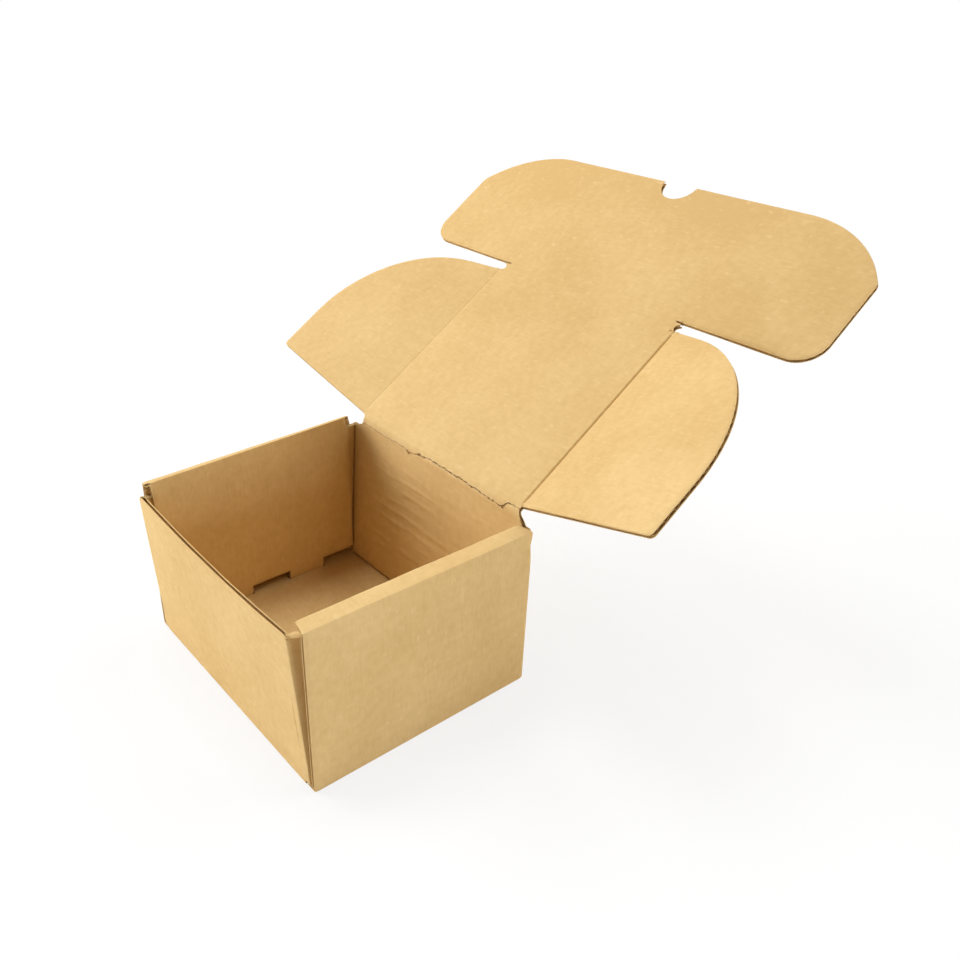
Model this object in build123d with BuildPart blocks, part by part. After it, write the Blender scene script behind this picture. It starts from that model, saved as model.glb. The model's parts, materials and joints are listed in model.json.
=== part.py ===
from build123d import *
from math import atan2, cos, radians, sin
import os

# Plain corrugated mailing box: one die-cut sheet, folded up and standing open. Millimetres and degrees.
# The base lies on XY with its middle at the origin, the front wall faces -Y, the lid leans back over +Y.

# Board and folds
board = 2.3  # thickness of the corrugated board
fold_radius = 3.1  # outer radius of a fixed fold
roll_radius = 2.6  # outer radius along both edges of a rolled side's top
layer_gap = 0.3  # air between two layers that lie together
fold_gap = 0.15  # half of the air along a moving fold
bevel_share = 1.08  # run of a moving fold's bevel, as a share of its depth
overrun = 1.0  # how far a cut or a joining lap runs past its edge

# Tray: base, front wall and back wall
tray_width = 124.0  # over both outer side panels
base_depth = 99.0  # over the front and back folds
wall_splay = 2.2  # outward lean of the front and back walls
back_height = 74.6  # along the back wall, from its fold to the lid's hinge
front_drop = 9.4  # top of the front wall below the hinge
shoulder_drop = 5.2  # from the hinge down to the start of the back wall's sloping shoulders
corner_run = 8.0  # height of the wall strip that is folded up with the base

# Tray: rolled sides with lock tabs
side_drop = 4.4  # top of the rolled sides below the hinge
side_setback = 0.3  # outer panel's ends, from the base's ends
inner_top_setback = 1.4  # inner panel's ends at the top, from the base's ends
inner_foot_setback = 3.3  # inner panel's ends at the foot, from the base's ends
inner_lift = 4.6  # foot of the inner panel above the underside
tab_width = 18.0
tab_pitch = 37.2  # between the two tabs of one inner panel
tab_lift = 0.4  # end of a tab above the underside
tab_radius = 2.0
slot_end_gap = 0.6  # room at each end of a tab's slot

# Tray: corner flaps tucked into the rolled sides
corner_flap_length = 34.0
corner_flap_foot = 5.0
corner_flap_head_drop = 2.5  # head of a corner flap below the top of its wall
corner_flap_tail_drop = 5.5  # the same at the flap's tail
corner_flap_radius = 4.0

# Lid
lid_width = 106.0  # between the two dust flap folds
lid_length = 99.4  # from the hinge to the tuck fold
lid_lean = 33.4  # rise of the open lid behind the box
slot_radius = 1.8  # round end of the slot between an ear and a dust flap

# Dust flaps
dust_reach = 70.0
dust_foot = 1.7  # start of the fold, from the hinge
dust_tip = 8.6  # height of the pointed tip
dust_tip_radius = 2.0
dust_straight = 32.2  # where the straight outer edge turns into the arc
dust_shoulder = 17.7  # width of the flap where the arc ends
dust_shoulder_drop = 4.9  # end of the arc below the tuck fold
left_dust_bend = 8.0  # how far each flap is folded in as it stands
right_dust_bend = 18.5

# Tuck flap and its ears
tuck_depth = 71.6
tuck_bend = 1.2
thumb_radius = 9.2  # half-round thumb notch
ear_inset = 3.0  # ear fold, from the lid's edge
ear_reach = 62.0  # from the ear's fold to its outer edge
ear_foot = 3.4  # lower edge of an ear, from the tuck fold
ear_corner_radius = 12.0
ear_nose_radius = 6.0
ear_straight = 17.0  # straight top of an ear, from its fold
ear_arc_drop = 25.0  # from the free edge down to where the arc meets the outer edge

# Worked-out places
half_board = board / 2
tray_half = tray_width / 2
base_half = base_depth / 2
lid_half = lid_width / 2
wall_half = tray_half - board - layer_gap
inner_face = tray_half - 3 * board - 2 * layer_gap
fold_half = wall_half - fold_radius
ear_fold = lid_half - ear_inset
front_height = back_height - front_drop
side_height = back_height - side_drop
shoulder_height = back_height - shoulder_drop
splay_rise = cos(radians(wall_splay))
splay_run = sin(radians(wall_splay))
lean_run = cos(radians(lid_lean))
lean_rise = sin(radians(lid_lean))

# Frames of the two end walls: X along the wall, Y into the box, Z up the wall's outer face
front_frame = Plane((0, -base_half, 0), x_dir=(1, 0, 0), z_dir=(0, -splay_run, splay_rise))
back_frame = Plane((0, base_half, 0), x_dir=(-1, 0, 0), z_dir=(0, splay_run, splay_rise))

# Frames of the flat panels, in the middle of the board: Z points to the panel's inner face
back_plane = Plane(back_frame.from_local_coords((0, half_board, 0)), x_dir=(1, 0, 0), z_dir=back_frame.y_dir)
hinge = back_plane.from_local_coords((0, back_height, 0))
lid_plane = Plane(hinge, x_dir=(1, 0, 0), z_dir=(0, -lean_rise, lean_run))
tuck_plane = Plane(lid_plane.location * Pos(0, lid_length, 0) * Rot(X=tuck_bend))
left_dust_plane = Plane(lid_plane.location * Pos(-lid_half, 0, 0) * Rot(Y=left_dust_bend))
right_dust_plane = Plane(lid_plane.location * Pos(lid_half, 0, 0) * Rot(Y=-right_dust_bend))
left_ear_plane = Plane(tuck_plane.location * Pos(-ear_fold, 0, 0))
right_ear_plane = Plane(tuck_plane.location * Pos(ear_fold, 0, 0))


def sheet_section(plane, outer_line, radii):
    """Section of a folded sheet: its outer line, rounded at the folds, thickened to the inside."""
    with BuildSketch(plane) as section:
        with BuildLine():
            FilletPolyline(*outer_line, radius=radii)
            offset(amount=board, side=Side.LEFT)
        make_face()
    return section.sketch


def outline(plane, *points):
    """Flat face with straight edges through the points."""
    with BuildSketch(plane) as face:
        with BuildLine():
            Polyline(*points, close=True)
        make_face()
    return face.sketch


def bevel_fold(panel, place, turn, reach, both_faces=False):
    """Bevel a panel's edge along a moving fold, so that it can turn without meeting its neighbour.

    The fold passes through place on the panel, and turn points from the panel's X out over the edge.
    """
    section = Plane(panel.location * Pos(*place) * Rot(Z=turn) * Rot(X=90))
    depth = half_board + overrun
    bevel = -fold_gap - depth * bevel_share
    outer_edge = bevel if both_faces else -fold_gap
    wedge = outline(
        section,
        (outer_edge, -depth),
        (-fold_gap, 0),
        (bevel, depth),
        (board, depth),
        (board, -depth),
    )
    extrude(wedge, amount=reach, both=True, mode=Mode.SUBTRACT)


def dust_flap_outline(plane, side):
    """Fan-shaped dust flap: straight foot to a pointed tip, then one large arc back to the fold.

    The arc leaves the straight outer edge without a corner, which sets its radius.
    """
    run = dust_reach - dust_shoulder
    rise = lid_length - dust_shoulder_drop - dust_straight
    radius = (run**2 + rise**2) / (2 * run)
    half_turn = atan2(rise, radius - run) / 2
    tip = (side * dust_reach, dust_tip)
    arc_start = (side * dust_reach, dust_straight)
    arc_middle = (
        side * (dust_reach - radius * (1 - cos(half_turn))),
        dust_straight + radius * sin(half_turn),
    )
    arc_end = (side * dust_shoulder, dust_straight + rise)
    with BuildSketch(plane) as flap:
        with BuildLine():
            FilletPolyline((0, dust_foot), tip, arc_start, radius=dust_tip_radius)
            ThreePointArc(arc_start, arc_middle, arc_end)
            Polyline(arc_end, (0, lid_length - slot_radius), (0, dust_foot))
        make_face()
    return flap.sketch


def ear_outline(plane, side):
    """Ear of the tuck flap: straight foot, round lower corner and a large arc up to the free edge.

    The arc runs into the free edge without a corner, which sets its radius.
    """
    run = ear_reach - ear_straight
    radius = (run**2 + ear_arc_drop**2) / (2 * ear_arc_drop)
    half_turn = atan2(run, radius - ear_arc_drop) / 2
    nose = (side * ear_reach, tuck_depth - ear_arc_drop)
    arc_middle = (
        side * (ear_straight + radius * sin(half_turn)),
        tuck_depth - radius * (1 - cos(half_turn)),
    )
    arc_end = (side * ear_straight, tuck_depth)
    with BuildSketch(plane) as ear:
        with BuildLine():
            FilletPolyline((0, ear_foot), (side * ear_reach, ear_foot), nose, radius=ear_corner_radius)
            ThreePointArc(nose, arc_middle, arc_end)
            Polyline(arc_end, (0, tuck_depth), (0, ear_foot))
        make_face()
        fillet(ear.vertices().sort_by_distance(nose)[0], radius=ear_nose_radius)
    return ear.sketch


os.makedirs("parts", exist_ok=True)

# Tray
with BuildPart() as tray:
    # Rolled side: outer panel up, narrow top strip, inner panel down again
    side_line = [
        (fold_half, 0),
        (tray_half, 0),
        (tray_half, side_height),
        (inner_face, side_height),
        (inner_face, inner_lift),
    ]
    rolled_side = sheet_section(Plane.XZ, side_line, [fold_radius, roll_radius, roll_radius])
    extrude(rolled_side, amount=base_half - side_setback, both=True)

    # The inner panel is shorter than the outer one and tapers towards its foot
    cut_plane = Plane.YZ.offset(inner_face - overrun)
    cut_foot = (board + inner_lift) / 2
    cut_head = side_height + overrun
    cut_end = base_half + overrun
    for end in (-1, 1):
        taper = outline(
            cut_plane,
            (end * (base_half - inner_foot_setback), cut_foot),
            (end * (base_half - inner_top_setback), cut_head),
            (end * cut_end, cut_head),
            (end * cut_end, cut_foot),
        )
        extrude(taper, amount=overrun + board + layer_gap / 2, mode=Mode.SUBTRACT)
    mirror(about=Plane.YZ)

    # Base, folded up at the front and the back
    run, rise = corner_run * splay_run, corner_run * splay_rise
    base_line = [(-base_half - run, rise), (-base_half, 0), (base_half, 0), (base_half + run, rise)]
    extrude(sheet_section(Plane.YZ, base_line, fold_radius), amount=fold_half, both=True)

    # End walls, with a corner flap folded in at each end
    for frame, height in ((front_frame, front_height), (back_frame, shoulder_height)):
        lap = fold_radius + overrun
        wall_line = [(-wall_half, lap), (-wall_half, 0), (wall_half, 0), (wall_half, lap)]
        wall = sheet_section(frame.offset(fold_radius), wall_line, fold_radius)
        extrude(wall, amount=height - fold_radius)
        for flap_face in (-wall_half, wall_half - board):
            flap_plane = Plane(
                frame.from_local_coords((flap_face, 0, 0)), x_dir=frame.y_dir, z_dir=frame.x_dir
            )
            with BuildSketch(flap_plane) as corner_flap:
                with BuildLine():
                    Polyline(
                        (fold_radius, corner_flap_foot),
                        (corner_flap_length, corner_flap_foot),
                        (corner_flap_length, height - corner_flap_tail_drop),
                        (fold_radius, height - corner_flap_head_drop),
                        close=True,
                    )
                make_face()
                fillet(corner_flap.vertices().sort_by(Axis.X)[-2:], radius=corner_flap_radius)
            extrude(amount=board)

    # Top of the back wall: shoulders that slope up to the ends of the lid's hinge
    shoulders = outline(
        back_plane,
        (-fold_half, shoulder_height - overrun),
        (fold_half, shoulder_height - overrun),
        (fold_half, shoulder_height),
        (lid_half, back_height),
        (-lid_half, back_height),
        (-fold_half, shoulder_height),
    )
    extrude(shoulders, amount=half_board, both=True)
    bevel_fold(back_plane, (0, back_height, 0), 90, tray_half, both_faces=True)

    # Slots in the base, and the inner panels' lock tabs that pass into them
    tab_centre = inner_face + half_board
    with BuildSketch() as slots:
        with GridLocations(2 * tab_centre, tab_pitch, 2, 2):
            Rectangle(board + 2 * layer_gap, tab_width + 2 * slot_end_gap)
    extrude(slots.sketch, amount=board, mode=Mode.SUBTRACT)
    tab_height = inner_lift + overrun - tab_lift
    for tab_face in (inner_face, -inner_face - board):
        with BuildSketch(Plane.YZ.offset(tab_face)) as tabs:
            with Locations((0, tab_lift + tab_height / 2)):
                with GridLocations(tab_pitch, 0, 2, 1):
                    RectangleRounded(tab_width, tab_height, tab_radius)
        extrude(tabs.sketch, amount=board)
tray.part.label = "tray"
export_step(tray.part, "parts/tray.step")

# Lid
with BuildPart() as lid:
    with BuildSketch(lid_plane):
        with Locations((0, lid_length / 2)):
            Rectangle(lid_width, lid_length)
        with Locations((-lid_half, lid_length), (lid_half, lid_length)):
            Circle(slot_radius, mode=Mode.SUBTRACT)
    extrude(amount=half_board, both=True)
    bevel_fold(lid_plane, (0, 0, 0), -90, lid_width, both_faces=True)
    bevel_fold(lid_plane, (0, lid_length, 0), 90, lid_width)
    bevel_fold(lid_plane, (lid_half, 0, 0), 0, lid_length + board)
    bevel_fold(lid_plane, (-lid_half, 0, 0), 180, lid_length + board)
lid.part.label = "lid"
export_step(lid.part, "parts/lid.step")

# Tuck flap, with a narrow root as wide as the lid and a thumb notch in its free edge
with BuildPart() as tuck_flap:
    root_half = lid_half - layer_gap
    root_height = ear_foot - layer_gap
    with BuildSketch(tuck_plane):
        with BuildLine():
            Polyline(
                (-root_half, 0),
                (root_half, 0),
                (root_half, root_height),
                (ear_fold, root_height),
                (ear_fold, tuck_depth),
                (-ear_fold, tuck_depth),
                (-ear_fold, root_height),
                (-root_half, root_height),
                close=True,
            )
        make_face()
        with Locations((0, tuck_depth)):
            Circle(thumb_radius, mode=Mode.SUBTRACT)
        with Locations((-lid_half, 0), (lid_half, 0)):
            Circle(slot_radius, mode=Mode.SUBTRACT)
    extrude(amount=half_board, both=True)
    bevel_fold(tuck_plane, (0, 0, 0), -90, lid_width)
    ear_fold_middle = (root_height + tuck_depth + overrun) / 2
    ear_fold_reach = ear_fold_middle - root_height
    bevel_fold(tuck_plane, (ear_fold, ear_fold_middle, 0), 0, ear_fold_reach)
    bevel_fold(tuck_plane, (-ear_fold, ear_fold_middle, 0), 180, ear_fold_reach)
tuck_flap.part.label = "tuck_flap"
export_step(tuck_flap.part, "parts/tuck_flap.step")

# Ears, which fold back from the tuck flap along the box's sides
with BuildPart() as left_ear:
    extrude(ear_outline(left_ear_plane, -1), amount=half_board, both=True)
    bevel_fold(left_ear_plane, (0, 0, 0), 0, tuck_depth + overrun)
left_ear.part.label = "left_ear"
export_step(left_ear.part, "parts/left_ear.step")

with BuildPart() as right_ear:
    extrude(ear_outline(right_ear_plane, 1), amount=half_board, both=True)
    bevel_fold(right_ear_plane, (0, 0, 0), 180, tuck_depth + overrun)
right_ear.part.label = "right_ear"
export_step(right_ear.part, "parts/right_ear.step")

# Dust flaps
with BuildPart() as left_dust_flap:
    extrude(dust_flap_outline(left_dust_plane, -1), amount=half_board, both=True)
    bevel_fold(left_dust_plane, (0, 0, 0), 0, lid_length)
left_dust_flap.part.label = "left_dust_flap"
export_step(left_dust_flap.part, "parts/left_dust_flap.step")

with BuildPart() as right_dust_flap:
    extrude(dust_flap_outline(right_dust_plane, 1), amount=half_board, both=True)
    bevel_fold(right_dust_plane, (0, 0, 0), 180, lid_length)
right_dust_flap.part.label = "right_dust_flap"
export_step(right_dust_flap.part, "parts/right_dust_flap.step")
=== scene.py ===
import json
import math

import bpy
import numpy as np
from bpy.props import FloatProperty, FloatVectorProperty, PointerProperty
from bpy.types import Operator, Panel, PropertyGroup
from mathutils import Matrix


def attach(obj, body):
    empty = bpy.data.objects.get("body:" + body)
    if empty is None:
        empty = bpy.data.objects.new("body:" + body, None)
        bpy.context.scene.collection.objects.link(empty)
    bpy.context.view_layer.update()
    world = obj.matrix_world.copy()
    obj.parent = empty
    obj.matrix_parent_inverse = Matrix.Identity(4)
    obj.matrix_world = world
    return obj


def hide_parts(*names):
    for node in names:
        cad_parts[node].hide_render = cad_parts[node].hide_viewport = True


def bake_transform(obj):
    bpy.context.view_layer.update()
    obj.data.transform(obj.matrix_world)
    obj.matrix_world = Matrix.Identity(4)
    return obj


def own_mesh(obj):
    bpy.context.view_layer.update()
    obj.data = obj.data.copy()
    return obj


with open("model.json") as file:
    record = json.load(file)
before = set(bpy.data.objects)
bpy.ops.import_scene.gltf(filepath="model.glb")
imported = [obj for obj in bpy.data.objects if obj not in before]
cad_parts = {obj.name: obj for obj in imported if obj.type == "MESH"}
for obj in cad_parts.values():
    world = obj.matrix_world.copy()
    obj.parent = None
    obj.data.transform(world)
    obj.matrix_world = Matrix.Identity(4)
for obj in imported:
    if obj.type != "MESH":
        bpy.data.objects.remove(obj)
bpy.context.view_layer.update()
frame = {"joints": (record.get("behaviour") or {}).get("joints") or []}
JOINTS = {joint["name"]: joint for joint in frame["joints"]}
ARC_STEPS = 9  # samples on each fold's arc
STEP = 0.00002  # width of a square step in an outline
RIM = 0.0007  # how far the crushing of a cut edge reaches in
INSET = 0.0003  # cut ends of the fluted sheet behind those of the liners
ROW, CLOSE_ROW = 0.0024, 0.0022  # spacing of the rows along a panel and along a flap
ACROSS = np.array((1.0, 0.0, 0.0))  # along the hinge, to the right

bl_info = {
    "name": "Folding shipping box",
    "version": (1, 0, 0),
    "blender": (4, 5, 0),
    "location": "3D View > Sidebar > Box",
    "description": "Builds the corrugated sheets, creases and stage of a folding shipping box",
    "category": "Object",
}


def length(name, default, text):
    """A length in metres."""
    return FloatProperty(name=name, description=text, default=default, unit="LENGTH", precision=5)


def angle(name, default, text):
    """An angle, given in degrees."""
    return FloatProperty(name=name, description=text, default=math.radians(default), subtype="ANGLE")


def colour(name, red, green, blue, text):
    """A colour, given as it looks on screen from 0 to 255 and kept as linear light."""
    shown = np.array((red, green, blue)) / 255
    linear = np.where(shown > 0.04045, ((shown + 0.055) / 1.055) ** 2.4, shown / 12.92)
    return FloatVectorProperty(
        name=name, description=text, default=tuple(linear), size=3, subtype="COLOR", min=0, max=1
    )


def share(name, default, text):
    """A plain number."""
    return FloatProperty(name=name, description=text, default=default)


def lamp(name, watts, turn, height, size, text):
    """A square lamp: watts, turn from the front to the right, height above the horizon, side."""
    return FloatVectorProperty(
        name=name,
        description=text + ": watts, turn about the box, height above the horizon, side",
        default=(watts, math.radians(turn), math.radians(height), size),
        size=4,
    )


class BoardSettings(PropertyGroup):
    """The corrugated board."""

    board: length("Board", 0.0023, "Thickness over both liners")
    liner: length("Liner", 0.00032, "Thickness of one liner")
    medium: length("Medium", 0.00022, "Thickness of the fluted sheet")
    pitch: length("Flute pitch", 0.0055, "From one flute to the next")
    crease: length("Crease", 0.0025, "Half width of the strip that bends at a crease")
    crushed: share("Crushed edge", 0.24, "Share of the thickness lost along a cut edge")
    furrow: length("Furrow", 0.0011, "Half width of the inner face's furrow at a sharp fold")


class TraySettings(PropertyGroup):
    """The folded tray."""

    width: length("Width", 0.124, "Over both outer side panels")
    depth: length("Depth", 0.099, "Over the front and back folds")
    splay: angle("Splay", 2.2, "Outward lean of the front and back walls")
    front: length("Front wall", 0.0652, "Height along the front wall")
    back: length("Back wall", 0.0746, "Height along the back wall, to the hinge")
    shoulder: length("Shoulder", 0.0052, "Drop of the back wall's shoulders below the hinge")
    hinge_foot: length("Hinge foot", 0.005, "Start of the hinge's strip, below the hinge")
    side: length("Side", 0.0702, "Height of the rolled sides")
    fold: length("Corner strip", 0.0031, "Start of a corner fold, from its outer face")
    bend: length("Fold radius", 0.0003, "Middle radius of the base and corner folds")
    roll: length("Roll radius", 0.0002, "Middle radius along the top of a rolled side")
    fold_pinch: length("Fold pinch", 0.00088, "Depth of the furrow inside a base or corner fold")
    roll_pinch: length("Roll pinch", 0.00097, "Depth of the furrow inside a rolled side's top folds")
    gap: length("Layer gap", 0.0003, "Air between layers that lie together")
    side_end: length("Side end", 0.0003, "Outer panel's ends, from the base's ends")
    inner_head: length("Inner head", 0.0014, "Inner panel's ends at the top, from the base's ends")
    inner_foot: length("Inner foot", 0.0033, "Inner panel's ends at the foot, from the base's ends")
    inner_lift: length("Inner lift", 0.0046, "Foot of the inner panel above the underside")
    tab_width: length("Tab width", 0.018, "Width of a lock tab")
    tab_pitch: length("Tab pitch", 0.0372, "Between the two tabs of a side")
    tab_lift: length("Tab lift", 0.0004, "End of a tab above the underside")
    tab_radius: length("Tab radius", 0.002, "Corner radius of a tab")
    slot_gap: length("Slot gap", 0.0006, "Room at each end of a tab's slot")
    flap: length("Corner flap", 0.034, "Reach of a corner flap into the rolled side")
    flap_foot: length("Flap foot", 0.005, "Foot of a corner flap")
    flap_round: length("Flap round", 0.004, "Radius of a corner flap's free corners")
    flap_head: length("Flap head", 0.0025, "Head of the right back corner flap below its wall's top")
    flap_tail: length("Flap tail", 0.0003, "Tail of a corner flap below its head")
    front_head: length("Other heads", 0.0003, "Heads of the other corner flaps below their walls' tops")
    lean_right: length("Right lean", 0.0043, "How far the front wall's right end leans in at its top")
    lean_left: length("Left lean", -0.0014, "The same at its left end, which stands out there")
    lean_foot: length("Left foot", 0.0021, "How far the front wall's left end stands in at its foot")
    back_foot: length("Back foot", 0.0022, "How far the back wall's foot stands in")
    base_end: length("Base end", 0.0018, "End of the base's wide part, from the front and back folds")
    washboard: length("Washboard", 0.00011, "Swing of the flutes that show on the back wall")
    tear: length("Tear", 0.0007, "Depth of the torn spot on the back wall")
    notch: length("Notch", 0.0057, "Right inner panel's front end, set back below the roll")
    notch_head: length("Notch head", 0.0045, "Where that end is set back the whole way, below the roll")
    bow: length("Bow", 0.0013, "How far the front wall's top bows out")
    outer_right: length("Right outer end", 0.001, "Right outer panel's top beyond its foot, at the back")
    outer_left: length("Left outer end", -0.0006, "The same on the left")
    inner_right: length("Right inner end", 0.0012, "Right inner panel's extra length at the back")
    inner_left: length("Left inner end", -0.0036, "The same on the left")
    strip_left: length("Left strip end", -0.0047, "The same at the left roll's top")
    rise_front: length("Front rise", -0.0002, "Left outer panel's top above the right one's, at the front")
    rise_back: length("Back rise", 0.0023, "The same at the back")
    tilt_front: length("Front tilt", 0.0024, "Left roll's inner edge above its outer one, at the front")
    tilt_back: length("Back tilt", 0.003, "The same at the back")
    pressed: share("Pressed height", 0.96, "Height that the left side keeps under the shut lid")


class LidSettings(PropertyGroup):
    """The lid and its flaps."""

    width: length("Width", 0.106, "Between the dust flap creases")
    length: length("Length", 0.0994, "From the hinge to the tuck crease")
    slot: length("Slot", 0.0018, "Radius of the slot's round end")
    dust_reach: length("Dust reach", 0.07, "Reach of a dust flap")
    dust_foot: length("Dust foot", 0.0017, "Start of the dust crease")
    dust_tip: length("Dust tip", 0.0086, "Height of the dust flap's tip")
    dust_round: length("Dust round", 0.002, "Radius of the dust flap's tip")
    dust_side: length("Dust side", 0.0322, "End of the dust flap's straight side")
    dust_top: length("Dust top", 0.0177, "Width of the dust flap where its arc ends")
    dust_drop: length("Dust drop", 0.0049, "End of the arc below the tuck crease")
    tuck: length("Tuck depth", 0.0716, "Depth of the tuck flap")
    thumb: length("Thumb notch", 0.0092, "Radius of the thumb notch")
    ear_inset: length("Ear inset", 0.003, "Ear crease, from the lid's edge")
    ear_reach: length("Ear reach", 0.062, "Reach of an ear")
    ear_foot: length("Ear foot", 0.0034, "Foot of an ear, from the tuck crease")
    ear_corner: length("Ear corner", 0.012, "Radius of an ear's lower corner")
    ear_nose: length("Ear nose", 0.0017, "Rounding where the ear's side meets its arc")
    ear_top: length("Ear top", 0.017, "Straight top of an ear")
    ear_drop: length("Ear drop", 0.025, "Drop of an ear's arc")
    groove_right: length("Right groove", 0.00078, "Depth of the right dust crease's groove")
    groove_left: length("Left groove", 0.00016, "Depth of the left dust crease's groove")


class KraftSettings(PropertyGroup):
    """Colours of the unbleached paper."""

    light: colour("Light", 229, 197, 139, "Lighter patches of the liner")
    dark: colour("Dark", 209, 173, 114, "Darker patches of the liner")
    fleck: colour("Fleck", 238, 211, 160, "Pale fibres")
    speck: colour("Speck", 168, 126, 74, "Dark specks")
    scuff: colour("Scuff", 243, 215, 163, "Rubbed edges")
    core: colour("Core", 192, 153, 98, "The fluted sheet and cut edges")


class StageSettings(PropertyGroup):
    """Floor, light and camera."""

    floor: colour("Floor", 250, 250, 250, "The floor")
    white: share("White", 0.8, "Share of the floor that shows plain white next to the box")
    sky: share("Sky", 0.07, "Light from all round")
    key: lamp("Key", 14.0, -54.0, 30.0, 0.8, "Large lamp at the front left")
    top: lamp("Top", 7.5, -90.0, 70.0, 0.5, "Lamp above the left side")
    back: lamp("Back", 12.0, 170.0, 50.0, 1.1, "Large lamp behind the lid")
    right: lamp("Right", 8.7, 104.0, 4.0, 0.5, "Low lamp at the right")
    front: lamp("Front", 6.0, -15.0, 2.0, 0.3, "Low lamp at the front")
    lamp_distance: length("Lamp distance", 1.4, "From each lamp to the box")
    focal: share("Focal length", 35.556, "On a 36 mm wide sensor")
    azimuth: angle("Azimuth", 48.7431, "Camera's turn about the box")
    elevation: angle("Elevation", 28.8544, "Camera's height above the horizon")
    roll: angle("Roll", 1.9309, "Camera's turn about its own axis")
    distance: length("Distance", 0.4021279, "From the camera to the box's middle")
    shift_x: length("Sideways", 0.0603547, "Camera's offset to its right")
    shift_y: length("Upwards", 0.0717354, "Camera's offset upwards")


def settings():
    """Settings of the board, the tray and the lid."""
    scene = bpy.context.scene
    return scene.box_board, scene.box_tray, scene.box_lid


def bell(distance, width):
    """Bell curve: 1 at no distance, exp(-1) at the width."""
    return np.exp(-((distance / width) ** 2))


def smooth(t):
    """0 below 0, 1 above 1 and an S curve between."""
    t = np.clip(t, 0.0, 1.0)
    return t * t * (3 - 2 * t)


def patchy(p, q, size, seed):
    """Soft random field from about -1 to 1: random values on a lattice of that size, joined by S curves."""
    table = np.random.default_rng(seed).uniform(-1, 1, (64, 64))
    u, v = p / size, q / size
    i, j = np.floor(u).astype(int), np.floor(v).astype(int)
    s, t = smooth(u - i), smooth(v - j)
    low = table[i % 64, j % 64] * (1 - s) + table[(i + 1) % 64, j % 64] * s
    high = table[i % 64, (j + 1) % 64] * (1 - s) + table[(i + 1) % 64, (j + 1) % 64] * s
    return low * (1 - t) + high * t


def folded_line(corners, radii, start=0.0, steps=ARC_STEPS):
    """Middle line of a folded sheet, seen from its end.

    Straight runs between the corners, and at each inner corner an arc that touches both runs. Gives the
    length along the line, both coordinates and the heading at each sample.
    """
    corners = np.asarray(corners, float)
    runs = np.diff(corners, axis=0)
    headings = np.unwrap(np.arctan2(runs[:, 1], runs[:, 0]))
    points, turns = [corners[:1]], [headings[:1]]
    for corner, before, after, radius in zip(corners[1:-1], headings[:-1], headings[1:], radii):
        sweep = np.linspace(before, after, steps)
        side = math.copysign(radius, after - before)
        back = radius * math.tan(abs(after - before) / 2)
        middle = corner - back * np.array((math.cos(before), math.sin(before)))
        middle = middle + side * np.array((-math.sin(before), math.cos(before)))
        points.append(middle - side * np.stack((-np.sin(sweep), np.cos(sweep)), axis=1))
        turns.append(sweep)
    line = np.concatenate(points + [corners[-1:]])
    heading = np.concatenate(turns + [headings[-1:]])
    steps_taken = np.hypot(*np.diff(line, axis=0).T)
    return start + np.concatenate(([0.0], np.cumsum(steps_taken))), line[:, 0], line[:, 1], heading


def bends(line):
    """Length along a folded line at the middle of each of its arcs."""
    return line[0][1:-1].reshape(-1, ARC_STEPS).mean(axis=1)


def close_to(places, reach=0.003, count=15):
    """Places round each given one, closest together next to it."""
    return (places[:, None] + reach * np.sinh(np.linspace(-2.5, 2.5, count)) / math.sinh(2.5)).ravel()


def furrow(along, places, depths):
    """Sum of pressed furrows: each a bell curve of its depth at its place."""
    width = bpy.context.scene.box_board.furrow
    return sum(depth * bell(along - place, width) for place, depth in zip(places, depths))


def crisp(line, along, radius):
    """Outward relief that squares up a fold's round outer face.

    At an angle a from the nearer end of the arc, a square corner lies radius / cos(a) from the arc's
    centre: the relief is three quarters of what that is more than the radius.
    """
    turn = np.interp(along, line[0], line[3])
    arcs = line[3][1:-1].reshape(-1, ARC_STEPS)
    away = [np.minimum(turn - before, after - turn) for before, after in zip(arcs[:, 0], arcs[:, -1])]
    return 0.75 * radius * (1 / np.cos(np.clip(np.max(away, axis=0), 0, math.pi / 4)) - 1)


def crease_line(before, after, turn, middle, width, steps=33):
    """Middle line of a crease: its heading turns by S curve over a width about the middle.

    The line starts on one flat panel and ends on the other, as if both ran on to a sharp corner at 0, 0.
    """
    along = np.linspace(-before, after, steps)
    heading = turn * smooth((along - middle) / width + 0.5)
    halfway = (heading[1:] + heading[:-1]) / 2
    run = np.stack((np.cos(halfway), np.sin(halfway)), axis=1) * ((before + after) / (steps - 1))
    line = np.array((-before, 0.0)) + np.concatenate((np.zeros((1, 2)), np.cumsum(run, axis=0)))
    end = after * np.array((math.cos(turn), math.sin(turn)))
    line = line + smooth(np.linspace(0, 1, steps))[:, None] * (end - line[-1])
    return along, line[:, 0], line[:, 1], heading


def on_line(line, along, left):
    """Point at a length along a folded line, moved to its left."""
    lengths, x, y, heading = line
    turn = np.interp(along, lengths, heading)
    return (
        np.interp(along, lengths, x) - left * np.sin(turn),
        np.interp(along, lengths, y) + left * np.cos(turn),
    )


def spread(cells):
    """Steps from 0 to 1, close together at both ends, where cut edges are."""
    rim = np.array((0.0, 0.004, 0.011, 0.022))
    return np.concatenate((rim, np.linspace(0.036, 0.964, cells), 1 - rim[::-1]))


def columns(first, last, step, extra=(), rim=(True, True)):
    """Places from first to last about a step apart, with extra places and close ones at cut ends."""
    count = max(2, int(round((last - first) / step)) + 1)
    places = [np.linspace(first, last, count), np.asarray(extra, float)]
    close = np.array((0.0004, 0.0009, 0.0016))
    if rim[0]:
        places.append(first + close)
    if rim[1]:
        places.append(last - close)
    return tidy(np.clip(np.concatenate(places), first, last))


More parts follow.
